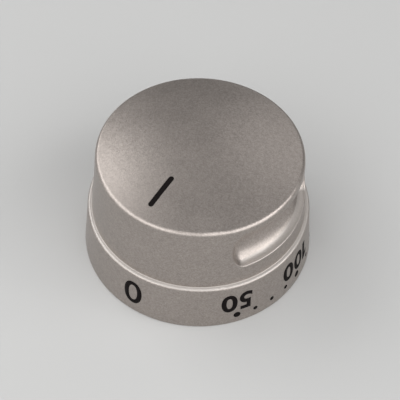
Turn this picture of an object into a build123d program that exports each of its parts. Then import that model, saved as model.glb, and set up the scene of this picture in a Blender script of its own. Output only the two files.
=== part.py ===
# Oven control knob: a round grip with two finger scoops on a numbered skirt, and a hub with a D socket.
# Millimetres. The origin is the centre of the skirt's foot, +Z runs up through the crown, and the pointer
# lies towards -Y. The scoops lie towards +X and -X, and the shaft's flat faces +Y.
import os
from math import atan, cos, degrees, radians, sin, sqrt

from build123d import *

# Skirt, the lower ring that carries the scale
skirt_foot_radius = 24.0
skirt_top_radius = 23.0
skirt_height = 11.3
skirt_edge_round = 0.6
foot_edge_chamfer = 0.25

# Grip, the drafted drum above the skirt's ledge, and its crown
ledge_width = 0.85
grip_height = 15.0
grip_taper = 1.35
ledge_corner_round = 0.12
crown_rise = 2.3
crown_edge_round = 0.9

# Finger scoops, one on each side of the grip
scoop_count = 2
scoop_height = 9.2
scoop_depth = 3.05
scoop_below_crown = 1.65
scoop_span = 77.4
scoop_lip_round = 0.25

# Pointer, a shallow stamped groove that holds the ink
pointer_inner_radius = 9.6
pointer_outer_radius = 17.4
pointer_width = 1.1
pointer_depth = 0.15

# Walls
wall = 1.8
crown_wall = 2.0
backing_bevel = 2.9

# Hub and its ribs
hub_radius = 5.8
hub_recess = 5.0
hub_draft = 0.6
rib_count = 6
rib_thickness = 1.2
rib_hub_drop = 15.0
rib_wall_drop = 9.0

# Shaft socket: a round pilot at the mouth, then a D to the blind end
shaft_radius = 3.0
shaft_flat = 1.5
shaft_clearance = 0.04
pilot_clearance = 0.25
pilot_length = 5.0
socket_depth = 17.0
mouth_chamfer = 0.35

# Tongue behind the flat, cut free by two slits, and the pocket for its spring
tongue_thickness = 1.0
slit_width = 0.6
pocket_width = 4.2
pocket_gap = 1.2
pocket_depth = 13.0

# Spring leaf: hooked over the hub's mouth, bowed on to the tongue
leaf_thickness = 0.3
leaf_side_clearance = 0.25
leaf_seat_clearance = 0.03
leaf_hook_length = 1.3
leaf_end_clearance = 1.0
leaf_hook_round = 0.2
leaf_knee_round = 1.2
leaf_bow_round = 2.5

# Heights and radii that follow
grip_foot_radius = skirt_top_radius - ledge_width
grip_top_radius = grip_foot_radius - grip_taper
crown_edge_height = skirt_height + grip_height
crown_top_height = crown_edge_height + crown_rise
crown_radius = (grip_top_radius**2 + crown_rise**2) / (2 * crown_rise)
crown_center_height = crown_top_height - crown_radius


def grip_radius_at(height):
    # Radius of the drafted grip at a height above the foot.
    share = (height - skirt_height) / grip_height
    return grip_foot_radius + share * (grip_top_radius - grip_foot_radius)


scoop_center_height = crown_edge_height - scoop_below_crown - scoop_height / 2
scoop_path_radius = grip_radius_at(scoop_center_height)
scoop_end_angle = degrees(atan(scoop_depth / scoop_path_radius))
scoop_path_angle = scoop_span - 2 * scoop_end_angle

core_top_radius = grip_top_radius - wall
core_edge_height = crown_center_height + sqrt((crown_radius - crown_wall) ** 2 - core_top_radius**2)
core_top_height = crown_top_height - crown_wall
core_ledge_height = skirt_height - wall

backing_radius = scoop_path_radius - scoop_depth - wall
backing_span = scoop_span + 2 * degrees(atan(wall / backing_radius))
backing_foot = scoop_center_height - scoop_height / 2 - wall

socket_radius = shaft_radius + shaft_clearance
pilot_radius = shaft_radius + pilot_clearance
flat_offset = shaft_flat + shaft_clearance
pocket_inner = flat_offset + tongue_thickness
pocket_outer = pocket_inner + pocket_gap

# A scoop's cutter: an upright oval carried round the grip, with each end closed by half a turn of the same oval
with BuildPart() as scoop:
    with BuildSketch(Plane.XZ.rotated((0, 0, -scoop_path_angle / 2))):
        with Locations((scoop_path_radius, scoop_center_height)):
            Ellipse(scoop_depth, scoop_height / 2)
    revolve(axis=Axis.Z, revolution_arc=scoop_path_angle)
    for side in (-1, 1):
        turn = radians(side * scoop_path_angle / 2)
        outward = Vector(cos(turn), sin(turn), 0)
        end = outward * scoop_path_radius + Vector(0, 0, scoop_center_height)
        with BuildSketch(Plane(end, x_dir=outward, z_dir=outward.rotate(Axis.Z, -90))):
            Ellipse(scoop_depth, scoop_height / 2)
            with Locations((-scoop_depth, 0)):
                Rectangle(2 * scoop_depth, scoop_height, mode=Mode.SUBTRACT)
        revolve(axis=Axis(end, (0, 0, side)), revolution_arc=180)

# The wall behind a scoop, straight above its sloped foot so that the mould's core can leave downwards
with BuildPart() as scoop_backing:
    with BuildSketch(Plane.XZ.rotated((0, 0, -backing_span / 2))):
        with BuildLine():
            Polyline(
                (backing_radius, crown_top_height),
                (backing_radius, backing_foot + backing_bevel),
                (backing_radius + backing_bevel, backing_foot),
                (skirt_foot_radius, backing_foot),
                (skirt_foot_radius, crown_top_height),
                close=True,
            )
        make_face()
    revolve(axis=Axis.Z, revolution_arc=backing_span)

# One radial rib, deeper at the hub than at the wall
with BuildPart() as rib:
    with BuildSketch(Plane.XZ):
        with BuildLine():
            Polyline(
                (0, core_top_height + crown_wall),
                (0, core_top_height - rib_hub_drop),
                (hub_radius, core_top_height - rib_hub_drop),
                (core_top_radius, core_top_height - rib_wall_drop),
                (skirt_foot_radius, core_top_height - rib_wall_drop),
                (skirt_foot_radius, core_top_height + crown_wall),
                close=True,
            )
        make_face()
    extrude(amount=rib_thickness / 2, both=True)

# The hollow under the knob, as the mould's core: it leaves the walls, the hub and the ribs
with BuildPart() as core:
    with BuildSketch(Plane.YZ):
        with BuildLine():
            Polyline(
                (0, core_top_height),
                (0, 0),
                (skirt_foot_radius - wall, 0),
                (skirt_top_radius - wall, core_ledge_height),
                (grip_foot_radius - wall, core_ledge_height),
                (core_top_radius, core_edge_height),
                close=True,
            )
        make_face()
    revolve(axis=Axis.Z)
    with PolarLocations(0, scoop_count):
        add(scoop_backing.part, mode=Mode.SUBTRACT)
    with BuildSketch(Plane.XY.offset(hub_recess)):
        Circle(hub_radius)
    extrude(amount=crown_top_height - hub_recess, taper=-hub_draft, mode=Mode.SUBTRACT)
    with PolarLocations(0, rib_count):
        add(rib.part, mode=Mode.SUBTRACT)

# The pointer's groove follows the crown at an even depth
with BuildPart() as pointer_groove:
    with BuildSketch(Plane.XY.offset(crown_edge_height)):
        with Locations((0, -(pointer_inner_radius + pointer_outer_radius) / 2)):
            SlotOverall(pointer_outer_radius - pointer_inner_radius, pointer_width, rotation=90)
    extrude(amount=2 * crown_rise)
    with Locations((0, 0, crown_center_height)):
        Sphere(crown_radius - pointer_depth, mode=Mode.SUBTRACT)

# The moulding
with BuildPart() as knob_body:
    with BuildSketch(Plane.YZ):
        with BuildLine():
            Polyline(
                (0, crown_top_height),
                (0, 0),
                (skirt_foot_radius, 0),
                (skirt_top_radius, skirt_height),
                (grip_foot_radius, skirt_height),
                (grip_top_radius, crown_edge_height),
            )
            RadiusArc((grip_top_radius, crown_edge_height), (0, crown_top_height), -crown_radius)
        make_face()
        for radius, height, corner_round in (
            (grip_top_radius, crown_edge_height, crown_edge_round),
            (grip_foot_radius, skirt_height, ledge_corner_round),
            (skirt_top_radius, skirt_height, skirt_edge_round),
        ):
            fillet(vertices().sort_by_distance((radius, height))[0], radius=corner_round)
        chamfer(vertices().sort_by_distance((skirt_foot_radius, 0))[0], length=foot_edge_chamfer)
    revolve(axis=Axis.Z)

    with PolarLocations(0, scoop_count):
        add(scoop.part, mode=Mode.SUBTRACT)
    grip_face = faces().filter_by(GeomType.CONE).sort_by(Axis.Z)[-1]
    for lip in grip_face.inner_wires():
        fillet(lip.edges(), radius=scoop_lip_round)

    add(core.part, mode=Mode.SUBTRACT)
    add(pointer_groove.part, mode=Mode.SUBTRACT)

    # Pilot with its lead-in, then the D, all from the hub's mouth
    with BuildSketch(Plane.XY.offset(hub_recess)):
        Circle(pilot_radius)
    extrude(amount=pilot_length, mode=Mode.SUBTRACT)
    with BuildSketch(Plane.XY.offset(hub_recess)):
        Circle(pilot_radius + mouth_chamfer)
    extrude(amount=mouth_chamfer, taper=45, mode=Mode.SUBTRACT)
    with BuildSketch(Plane.XY.offset(hub_recess)):
        Circle(socket_radius)
        with Locations((0, flat_offset + socket_radius)):
            Rectangle(2 * socket_radius, 2 * socket_radius, mode=Mode.SUBTRACT)
    extrude(amount=socket_depth, mode=Mode.SUBTRACT)
    # Pocket behind the tongue, and the slits on the tongue's two sides
    with BuildSketch(Plane.XY.offset(hub_recess)):
        with Locations((0, pocket_inner + pocket_gap / 2)):
            Rectangle(pocket_width, pocket_gap)
        for side in (-1, 1):
            with Locations((side * (pocket_width - slit_width) / 2, flat_offset + tongue_thickness / 2)):
                Rectangle(slit_width, tongue_thickness)
    extrude(amount=pocket_depth, mode=Mode.SUBTRACT)

knob_body.part.label = "knob_body"

# The spring leaf, in the plane through the shaft and the middle of the flat
leaf_seat = leaf_thickness / 2 + leaf_seat_clearance
leaf_outer = pocket_outer - leaf_seat
leaf_inner = pocket_inner + leaf_seat
leaf_width = pocket_width - 2 * leaf_side_clearance
leaf_knee_height = hub_recess + pilot_length
leaf_end_height = hub_recess + pocket_depth - leaf_end_clearance
with BuildPart() as shaft_spring:
    with BuildLine(Plane.YZ) as leaf_path:
        FilletPolyline(
            (pocket_outer + leaf_hook_length, hub_recess - leaf_seat),
            (leaf_outer, hub_recess - leaf_seat),
            (leaf_outer, leaf_knee_height),
            (leaf_inner, (leaf_knee_height + leaf_end_height) / 2),
            (leaf_outer, leaf_end_height),
            radius=(leaf_hook_round, leaf_knee_round, leaf_bow_round),
        )
    with BuildSketch(Plane(origin=leaf_path.line @ 0, x_dir=(1, 0, 0), z_dir=leaf_path.line % 0)):
        Rectangle(leaf_width, leaf_thickness)
    sweep(path=leaf_path.line)
shaft_spring.part.label = "shaft_spring"

os.makedirs("parts", exist_ok=True)
for piece in (knob_body.part, shaft_spring.part):
    export_step(piece, f"parts/{piece.label}.step")
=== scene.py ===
import math

import bmesh
import bpy
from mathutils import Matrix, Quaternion, Vector


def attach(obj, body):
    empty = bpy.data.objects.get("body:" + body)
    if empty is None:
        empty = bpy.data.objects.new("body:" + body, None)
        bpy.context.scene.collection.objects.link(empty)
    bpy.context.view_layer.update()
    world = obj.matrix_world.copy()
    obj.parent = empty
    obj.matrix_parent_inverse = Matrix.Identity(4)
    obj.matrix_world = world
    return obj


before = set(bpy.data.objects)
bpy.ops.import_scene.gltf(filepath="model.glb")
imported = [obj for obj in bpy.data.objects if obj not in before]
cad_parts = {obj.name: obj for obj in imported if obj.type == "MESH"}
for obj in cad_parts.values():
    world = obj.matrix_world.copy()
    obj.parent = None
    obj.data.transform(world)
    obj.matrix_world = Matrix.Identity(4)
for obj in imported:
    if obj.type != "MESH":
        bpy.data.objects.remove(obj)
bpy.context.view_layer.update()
mm = 0.001
noiseMiddle = 0.5  # the mean of a noise, and of a flake's random colour

# Where the knob's surfaces lie, in millimetres, as the frame has them
knob = {
    "skirtFootRadius": 24.0,
    "skirtTopRadius": 23.0,
    "skirtHeight": 11.3,
    "gripTopRadius": 20.8,
    "crownRise": 2.3,
    "topHeight": 28.6,
}
crownRadius = (knob["gripTopRadius"] ** 2 + knob["crownRise"] ** 2) / (2 * knob["crownRise"])
crownCentre = knob["topHeight"] - crownRadius


def skirtRadius(z):
    # outside of the skirt at a height above its foot
    share = z / knob["skirtHeight"]
    return knob["skirtFootRadius"] + share * (knob["skirtTopRadius"] - knob["skirtFootRadius"])


def crownHeight(r):
    return crownCentre + math.sqrt(crownRadius**2 - r**2)


# Shader maths written as plain arithmetic; a comparison gives a mask of 0 and 1, and | joins two masks
class Value:
    def __init__(self, tree, socket):
        self.tree = tree
        self.socket = socket

    def maths(self, operation, *items):
        made = self.tree.nodes.new("ShaderNodeMath")
        made.operation = operation
        for slot, item in zip(made.inputs, items):
            feed(self.tree, slot, item)
        return Value(self.tree, made.outputs[0])

    def __add__(self, other):
        return self.maths("ADD", self, other)

    def __radd__(self, other):
        return self.maths("ADD", other, self)

    def __sub__(self, other):
        return self.maths("SUBTRACT", self, other)

    def __rsub__(self, other):
        return self.maths("SUBTRACT", other, self)

    def __mul__(self, other):
        return self.maths("MULTIPLY", self, other)

    def __rmul__(self, other):
        return self.maths("MULTIPLY", other, self)

    def __gt__(self, other):
        return self.maths("GREATER_THAN", self, other)

    def __lt__(self, other):
        return self.maths("LESS_THAN", self, other)

    def __or__(self, other):
        return self.maths("MAXIMUM", self, other)

    def __ror__(self, other):
        return self.maths("MAXIMUM", other, self)

    def __abs__(self):
        return self.maths("ABSOLUTE", self)

    def near(self, middle, reach):
        return self.maths("COMPARE", self, middle, reach)


def feed(tree, slot, item):
    if isinstance(item, Value):
        tree.links.new(item.socket, slot)
    else:
        slot.default_value = item


def perMetre(size):
    # a pattern's scale, from the size of its grains in millimetres
    return 1 / (size * mm)


class Finish:
    # one material's nodes; every node but the arithmetic comes from node()
    def __init__(self, name):
        self.material = bpy.data.materials.new(name)
        self.material.use_nodes = True
        self.tree = self.material.node_tree
        self.tree.nodes.clear()

    def node(self, kind, settings=None, inputs=None, out=0):
        made = self.tree.nodes.new("ShaderNode" + kind)
        for name, setting in (settings or {}).items():
            setattr(made, name, setting)
        for name, item in (inputs or {}).items():
            feed(self.tree, made.inputs[name], item)
        return Value(self.tree, made.outputs[out]) if made.outputs else None

    def place(self):
        return self.node("TexCoord", out="Object")

    def surface(self, inputs):
        self.node("OutputMaterial", inputs={"Surface": self.node("BsdfPrincipled", inputs=inputs)})
        return self.material

    def mixColour(self, factor, first, second):
        # the Mix node's colour sockets share their names with others, so they go by number
        return self.node("Mix", {"data_type": "RGBA"}, {0: factor, 6: first, 7: second}, out=2)

    def vector(self, operation, *items, out="Vector"):
        return self.node("VectorMath", {"operation": operation}, dict(enumerate(items)), out)

    def noise(self, place, scale, detail=3.0):
        return self.node("TexNoise", None, {"Vector": place, "Scale": scale, "Detail": detail})

    def cells(self, place, size, out):
        inputs = {"Vector": place, "Scale": perMetre(size)}
        return self.node("TexVoronoi", {"feature": "F1"}, inputs, out)

    def bump(self, height, depth):
        return self.node("Bump", None, {"Height": height, "Distance": depth * mm, "Strength": 1.0})


# Silver lacquer: fine metal flakes in a warm grey, sprayed on grey plastic that stays bare inside
lacquer = {
    "colour": (0.44, 0.394, 0.364, 1),
    "deepColour": (0.29, 0.259, 0.239, 1),
    "plasticColour": (0.11, 0.108, 0.105, 1),
    "metal": 0.9,
    "roughness": 0.38,
    "roughnessSpread": 0.08,
    "plasticRoughness": 0.55,
    # the sizes of the patterns, and how much each one lightens the deep colour
    "flakeSize": 0.2,
    "mottleSize": 0.7,
    "cloudSize": 5.5,
    "flakeShare": 0.6,
    "mottleShare": 0.8,
    "cloudShare": 0.2,
    "leastShare": 0.1,
    "flakeTilt": 0.065,
    "grainSize": 0.35,
    "grainDepth": 0.004,
    # pale specks, in about one of every eight cells
    "dustSpacing": 2.4,
    "dustSize": 0.1,
    "dustShare": 0.12,
    "dustStrength": 0.6,
    "dustColour": (0.62, 0.6, 0.58, 1),
    # the middle of the wall, which parts the sprayed outside from the bare inside
    "skirtMiddle": 23.1,
    "ledgeMiddle": 10.4,
    "ledgeStep": 0.85,
    "wallSlope": 0.095,
    "scoopMiddle": 17.3,
    "scoopSlope": 34.2,
    "scoopSide": 0.743,
    "crownDepth": 1.0,
    # overspray on the inside, from the foot up
    "sprayReach": 3.0,
    "sprayScale": 700.0,
    "sprayStart": 0.95,
    # painted highlight: the ledge and the scoops' lower shelf get a lighter, less metallic lacquer, so
    # they read as lit bands
    "paintedHighlightColour": (0.43, 0.4, 0.375, 1),
    "paintedHighlightMetal": 0.35,
    "ledgeHalfHeight": 0.15,
    "ledgeRadius": 22.5,
    "ledgeHalfWidth": 0.5,
    "shelfHeight": 15.6,
    "shelfHalfHeight": 0.25,
    "shelfRadius": 20.6,
    "shelfHalfWidth": 1.1,
    "shelfShare": 0.65,
}


def makeSprayed(coat, place, height, radius, look):
    # 1 on the outside of the moulding and 0 under it, told apart along the middle of the wall
    aboveLedge = height > look["ledgeMiddle"] * mm
    wall = look["skirtMiddle"] * mm - look["wallSlope"] * height - look["ledgeStep"] * mm * aboveLedge
    fromCrown = coat.vector("DISTANCE", place, (0, 0, crownCentre * mm), out="Value")
    onCrown = fromCrown > (crownRadius - look["crownDepth"]) * mm
    across = coat.node("SeparateXYZ", None, {"Vector": place}, out="X")
    inScoop = (
        (radius > look["scoopMiddle"] * mm)
        * (abs(across) > look["scoopSide"] * radius)
        * (radius + height > look["scoopSlope"] * mm)
    )
    rim = coat.node("MapRange", None, {
        "Value": height,
        "From Max": look["sprayReach"] * mm,
        "To Min": look["sprayStart"],
        "To Max": 0.0,
    })
    overspray = rim > coat.noise(place, look["sprayScale"])
    return (radius > wall) | onCrown | inScoop | overspray


def makePaintedHighlight(height, radius, look):
    # 1 on the ledge and a share of it on the shelf, where a painted highlight goes: a lighter, less
    # metallic colour that stands in for light falling on them
    ledge = height.near(knob["skirtHeight"] * mm, look["ledgeHalfHeight"] * mm)
    ledge = ledge * radius.near(look["ledgeRadius"] * mm, look["ledgeHalfWidth"] * mm)
    shelf = height.near(look["shelfHeight"] * mm, look["shelfHalfHeight"] * mm)
    shelf = shelf * radius.near(look["shelfRadius"] * mm, look["shelfHalfWidth"] * mm)
    return ledge | look["shelfShare"] * shelf


def makeDust(coat, place, look):
    # round specks at the middle of a few cells, picked by each cell's random colour
    nearness = coat.cells(place, look["dustSpacing"], "Distance")
    chance = coat.node("SeparateColor", None, {"Color": coat.cells(place, look["dustSpacing"], "Color")})
    return (nearness < look["dustSize"] / look["dustSpacing"]) * (chance > 1 - look["dustShare"])


def makeLacquer(look):
    coat = Finish("silverLacquer")
    place = coat.place()
    height = coat.node("SeparateXYZ", None, {"Vector": place}, out="Z")
    radius = coat.vector("LENGTH", coat.vector("MULTIPLY", place, (1, 1, 0)), out="Value")
    sprayed = makeSprayed(coat, place, height, radius, look)
    paintedHighlight = makePaintedHighlight(height, radius, look)
    flakes = coat.cells(place, look["flakeSize"], "Color")
    glint = coat.node("SeparateColor", None, {"Color": flakes})
    mottle = coat.noise(place, perMetre(look["mottleSize"]))
    cloud = coat.noise(place, perMetre(look["cloudSize"]))
    grain = coat.noise(place, perMetre(look["grainSize"]), detail=2.0)
    blend = (
        look["flakeShare"] * glint
        + look["mottleShare"] * (mottle - noiseMiddle)
        + look["cloudShare"] * cloud
        + look["leastShare"]
    )
    silver = coat.mixColour(blend, look["deepColour"], look["colour"])
    dust = look["dustStrength"] * makeDust(coat, place, look)
    silver = coat.mixColour(dust, silver, look["dustColour"])
    # painted highlight: the ledge and the shelf are mixed towards a lighter colour
    silver = coat.mixColour(paintedHighlight, silver, look["paintedHighlightColour"])
    tilt = coat.vector("SUBTRACT", flakes, (noiseMiddle, noiseMiddle, noiseMiddle))
    lean = {0: tilt, "Scale": look["flakeTilt"] * sprayed}
    tilt = coat.node("VectorMath", {"operation": "SCALE"}, lean)
    leaning = coat.vector("ADD", coat.bump(grain, look["grainDepth"]), tilt)
    satin = look["roughness"] + look["roughnessSpread"] * (cloud - noiseMiddle)
    return coat.surface({
        "Base Color": coat.mixColour(sprayed, look["plasticColour"], silver),
        # the painted highlight is also less metallic, so it looks evenly lit
        "Metallic": (look["metal"] - (look["metal"] - look["paintedHighlightMetal"]) * paintedHighlight) * sprayed,
        "Roughness": look["plasticRoughness"] + (satin - look["plasticRoughness"]) * sprayed,
        "Normal": coat.vector("NORMALIZE", leaning),
    })


# Rolled spring strip: bright, with fine lines along its length
strip = {
    "colour": (0.62, 0.62, 0.63, 1),
    "roughness": 0.3,
    "roughnessSpread": 0.2,
    "lineSize": 0.05,
    "lineDepth": 0.003,
    "lineScale": 40.0,
}


def makeStrip(look):
    steel = Finish("springSteel")
    stretch = (perMetre(look["lineSize"]), look["lineScale"], look["lineScale"])
    stretched = steel.node("Mapping", None, {"Vector": steel.place(), "Scale": stretch})
    lines = steel.noise(stretched, 1.0, detail=2.0)
    return steel.surface({
        "Base Color": look["colour"],
        "Metallic": 1.0,
        "Roughness": look["roughness"] + look["roughnessSpread"] * (lines - noiseMiddle),
        "Normal": steel.bump(lines, look["lineDepth"]),
    })


# Pad-printed ink
ink = {
    "colour": (0.004, 0.003, 0.003, 1),
    "wornColour": (0.008, 0.006, 0.006, 1),
    "roughness": 0.6,
    "roughnessSpread": 0.15,
    "specular": 0.05,
    "speckleScale": 3000.0,
}


def makeInk(look):
    black = Finish("printedInk")
    speckle = black.noise(black.place(), look["speckleScale"], detail=2.0)
    return black.surface({
        "Base Color": black.mixColour(speckle, look["colour"], look["wornColour"]),
        "Roughness": look["roughness"] + look["roughnessSpread"] * (speckle - noiseMiddle),
        "Specular IOR Level": look["specular"],
    })


lacquerMaterial = makeLacquer(lacquer)
stripMaterial = makeStrip(strip)
inkMaterial = makeInk(ink)
for name, material in (("knob_body", lacquerMaterial), ("shaft_spring", stripMaterial)):
    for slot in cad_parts[name].material_slots:
        slot.material = material
print("finishes made")


def newObject(name, data):
    made = bpy.data.objects.new(name, data)
    bpy.context.scene.collection.objects.link(made)
    return made


def meshObject(name, work, material):
    data = bpy.data.meshes.new(name)
    work.to_mesh(data)
    work.free()
    data.materials.append(material)
    return newObject(name, data)


def addPiece(name, work, material):
    piece = meshObject(name, work, material)
    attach(piece, "root")


def cutEvenly(work, along, length, cuts):
    # straight cuts across a flat shape, so that it can follow a curve
    for cut in range(1, cuts):
        place = Vector(along) * ((cut / cuts - 0.5) * length)
        everything = work.verts[:] + work.edges[:] + work.faces[:]
        bmesh.ops.bisect_plane(work, geom=everything, plane_co=place, plane_no=along)


# Pointer: the ink that fills the stamped groove almost flush with the crown
pointer = {
    "inner": 9.6,
    "outer": 17.4,
    "width": 1.1,
    "gap": 0.01,
    # how deep its underside and its top lie under the crown's surface
    "floor": 0.14,
    "below": 0.02,
    "segments": 40,
    "cuts": 8,
}


def makePointer(size):
    reach = (size["outer"] - size["inner"] - size["width"]) / 2
    middle = -(size["inner"] + size["outer"]) / 2
    radius = size["width"] / 2 - size["gap"]
    work = bmesh.new()
    bmesh.ops.create_circle(work, cap_ends=True, segments=size["segments"], radius=radius)
    for vert in work.verts:
        vert.co.y += math.copysign(reach, vert.co.y)
    cutEvenly(work, (0, 1, 0), 2 * reach, size["cuts"])
    raised = bmesh.ops.extrude_face_region(work, geom=work.faces[:])["geom"]
    upper = {item for item in raised if isinstance(item, bmesh.types.BMVert)}
    for vert in work.verts:
        r = math.hypot(vert.co.x, vert.co.y + middle)
        depth = size["below"] if vert in upper else size["floor"]
        vert.co = (vert.co.x, vert.co.y + middle, crownHeight(r) - depth)
    bmesh.ops.scale(work, vec=(mm, mm, mm), verts=work.verts)
    bmesh.ops.recalc_face_normals(work, faces=work.faces)
    addPiece("pointer_ink", work, inkMaterial)


makePointer(pointer)
print("pointer made")

# Scale on the skirt: numerals stand on one line, tops towards the foot, and dots lie below them
scale = {
    "baseline": 8.85,
    "lift": 0.02,
    "sunk": 0.03,
    "height": 5.1,
    "gap": 0.45,
    "widths": {"0": 3.35, "1": 2.0, "2": 3.0, "5": 2.75},
    "zeroHeight": 6.44,
    "zeroWidth": 4.21,
    "bolder": 0.027,
    "zeroBolder": 0.01,
    "oneOutline": ((0.45, 0), (1, 0), (1, 1), (0.6, 1), (0, 0.87), (0, 0.64), (0.45, 0.76)),
    "curveSteps": 6,
    "step": 0.7,
    "weld": 0.005,
    "dotHeight": 2.4,
    "bigDot": 1.5,
    "smallDot": 0.98,
    "dotSegments": 24,
    "dotsPerStep": 4,
    # each mark's place, in degrees from the pointer
    "marks": {"50": 53.4, "100": 93.4, "150": 145.8, "200": 198.2, "250": 250.6},
}


def wrapOnSkirt(work, angle, size):
    # flat print in millimetres, x along the skirt and y up, laid on it at an angle from the pointer
    for vert in work.verts:
        z = vert.co.y
        turn = math.radians(angle) + vert.co.x / skirtRadius(z)
        r = skirtRadius(z) + size["lift"] + vert.co.z
        vert.co = (r * math.sin(turn), -r * math.cos(turn), z)
    bmesh.ops.scale(work, vec=(mm, mm, mm), verts=work.verts)
    bmesh.ops.recalc_face_normals(work, faces=work.faces)


def thicken(work, size):
    # the print's back lies just inside the skirt
    for item in bmesh.ops.extrude_face_region(work, geom=work.faces[:])["geom"]:
        if isinstance(item, bmesh.types.BMVert):
            item.co.z -= size["lift"] + size["sunk"]


def figureCurve(text, size):
    if text != "1":
        curve = bpy.data.curves.new("figure", "FONT")
        curve.body = text
        curve.resolution_u = size["curveSteps"]
        curve.offset = size["bolder"]
        return curve
    # a stem with a slanted flag and no foot, as shares of the figure's width and height
    curve = bpy.data.curves.new("figure", "CURVE")
    curve.dimensions = "2D"
    curve.fill_mode = "BOTH"
    spline = curve.splines.new("POLY")
    spline.points.add(len(size["oneOutline"]) - 1)
    for point, (x, y) in zip(spline.points, size["oneOutline"]):
        point.co = (x, y, 0, 1)
    spline.use_cyclic_u = True
    return curve


def addFigure(work, text, middle, width, height, size):
    # one figure, turned half round so that it reads from above
    writing = bpy.data.objects.new("figure", figureCurve(text, size))
    flat = bpy.data.meshes.new_from_object(writing)
    bpy.data.objects.remove(writing)
    xs = [vert.co.x for vert in flat.vertices]
    ys = [vert.co.y for vert in flat.vertices]
    wide, tall = max(xs) - min(xs), max(ys) - min(ys)
    centre, bottom = (max(xs) + min(xs)) / 2, min(ys)
    for vert in flat.vertices:
        across = (vert.co.x - centre) * width / wide
        up = (vert.co.y - bottom) * height / tall
        vert.co = (middle - across, size["baseline"] - up, 0)
    work.from_mesh(flat)


def makeNumeral(text, angle, widths, height, size):
    work = bmesh.new()
    total = sum(widths) + size["gap"] * (len(widths) - 1)
    edge = total / 2
    for figure, width in zip(text, widths):
        addFigure(work, figure, edge - width / 2, width, height, size)
        edge -= width + size["gap"]
    cutEvenly(work, (1, 0, 0), total, round(total / size["step"]))
    bmesh.ops.remove_doubles(work, verts=work.verts, dist=size["weld"])
    thicken(work, size)
    wrapOnSkirt(work, angle, size)
    addPiece("numeral_" + text, work, inkMaterial)


def makeDot(name, angle, across, size):
    work = bmesh.new()
    bmesh.ops.create_circle(work, cap_ends=True, segments=size["dotSegments"], radius=across / 2)
    bmesh.ops.translate(work, vec=(0, size["dotHeight"], 0), verts=work.verts)
    thicken(work, size)
    wrapOnSkirt(work, angle, size)
    addPiece(name, work, inkMaterial)


makeNumeral("0", 0.0, [scale["zeroWidth"]], scale["zeroHeight"], dict(scale, bolder=scale["zeroBolder"]))
for text, angle in scale["marks"].items():
    widths = [scale["widths"][figure] for figure in text]
    makeNumeral(text, angle, widths, scale["height"], scale)
    makeDot("dot_" + text, angle, scale["bigDot"], scale)
angles = list(scale["marks"].values())
for text, start, end in zip(scale["marks"], angles, angles[1:]):
    for part in range(1, scale["dotsPerStep"]):
        between = start + part * (end - start) / scale["dotsPerStep"]
        makeDot(f"dot_{text}_{part}", between, scale["smallDot"], scale)
print("scale made")

# Floor, light and camera
stage = {
    "floorColour": (0.43, 0.43, 0.426, 1),
    "floorRoughness": 0.9,
    "floorRadius": 3.0,
    "floorSegments": 64,
    "skyColour": (0.9, 0.9, 0.9, 1),
    "skyStrength": 0.24,
}
view = {
    "aim": (0.218, 0.138, 11.222),
    "azimuth": 32.305,
    "elevation": 51.094,
    "distance": 247.72,
    "roll": 2.086,
    "lens": 107.326,
    "sensor": 36.0,
    "clipStart": 0.01,
}
# each soft lamp: its turn from the camera's own azimuth and its rise, in degrees, its distance from the
# knob and its size, in metres, and its power
lamps = (
    {"name": "left", "turn": -125.0, "rise": 40.0, "away": 0.7, "size": (0.5, 0.5), "power": 2.0},
    {"name": "frontLeft", "turn": -65.0, "rise": 32.0, "away": 0.8, "size": (1.0, 0.7), "power": 4.7},
    {"name": "front", "turn": -8.0, "rise": 35.0, "away": 0.8, "size": (0.8, 0.7), "power": 2.0},
    {"name": "frontRight", "turn": 52.0, "rise": 32.0, "away": 0.8, "size": (0.8, 0.8), "power": 4.6},
    {"name": "right", "turn": 87.0, "rise": 33.0, "away": 0.75, "size": (0.3, 0.45), "power": 1.1},
    {"name": "back", "turn": 152.0, "rise": 42.0, "away": 0.8, "size": (0.4, 0.4), "power": 0.38},
    {"name": "above", "turn": 10.0, "rise": 72.0, "away": 0.8, "size": (1.0, 0.45), "power": 1.2},
)


def direction(azimuth, elevation):
    # from the aim outwards; azimuth 0 is towards -Y and grows towards +X
    a, e = math.radians(azimuth), math.radians(elevation)
    return Vector((math.sin(a) * math.cos(e), -math.cos(a) * math.cos(e), math.sin(e)))


def makeStage(look):
    segments, radius = look["floorSegments"], look["floorRadius"]
    work = bmesh.new()
    bmesh.ops.create_circle(work, cap_ends=True, segments=segments, radius=radius)
    paint = {"Base Color": look["floorColour"], "Roughness": look["floorRoughness"]}
    floor = meshObject("floor", work, Finish("paleFloor").surface(paint))
    world = bpy.data.worlds.new("studio")
    world.use_nodes = True
    sky = world.node_tree.nodes["Background"]
    sky.inputs["Color"].default_value = look["skyColour"]
    sky.inputs["Strength"].default_value = look["skyStrength"]
    bpy.context.scene.world = world


def makeLamp(lamp, aim):
    light = bpy.data.lights.new(lamp["name"], "AREA")
    light.shape = "RECTANGLE"
    light.size, light.size_y = lamp["size"]
    light.energy = lamp["power"]
    holder = newObject(lamp["name"], light)
    out = direction(view["azimuth"] + lamp["turn"], lamp["rise"])
    holder.location = aim + out * lamp["away"]
    holder.rotation_mode = "QUATERNION"
    holder.rotation_quaternion = (-out).to_track_quat("-Z", "Y")


def makeCamera(look):
    lens = bpy.data.cameras.new("camera")
    lens.lens = look["lens"]
    lens.sensor_width = look["sensor"]
    lens.clip_start = look["clipStart"]
    camera = newObject("camera", lens)
    out = direction(look["azimuth"], look["elevation"])
    camera.location = (Vector(look["aim"]) + out * look["distance"]) * mm
    camera.rotation_mode = "QUATERNION"
    roll = Quaternion((0, 0, 1), math.radians(look["roll"]))
    camera.rotation_quaternion = (-out).to_track_quat("-Z", "Y") @ roll
    bpy.context.scene.camera = camera


makeStage(stage)
for lamp in lamps:
    makeLamp(lamp, Vector(view["aim"]) * mm)
makeCamera(view)
bpy.context.scene.view_settings.view_transform = "Standard"
print("stage, lamps and camera made")
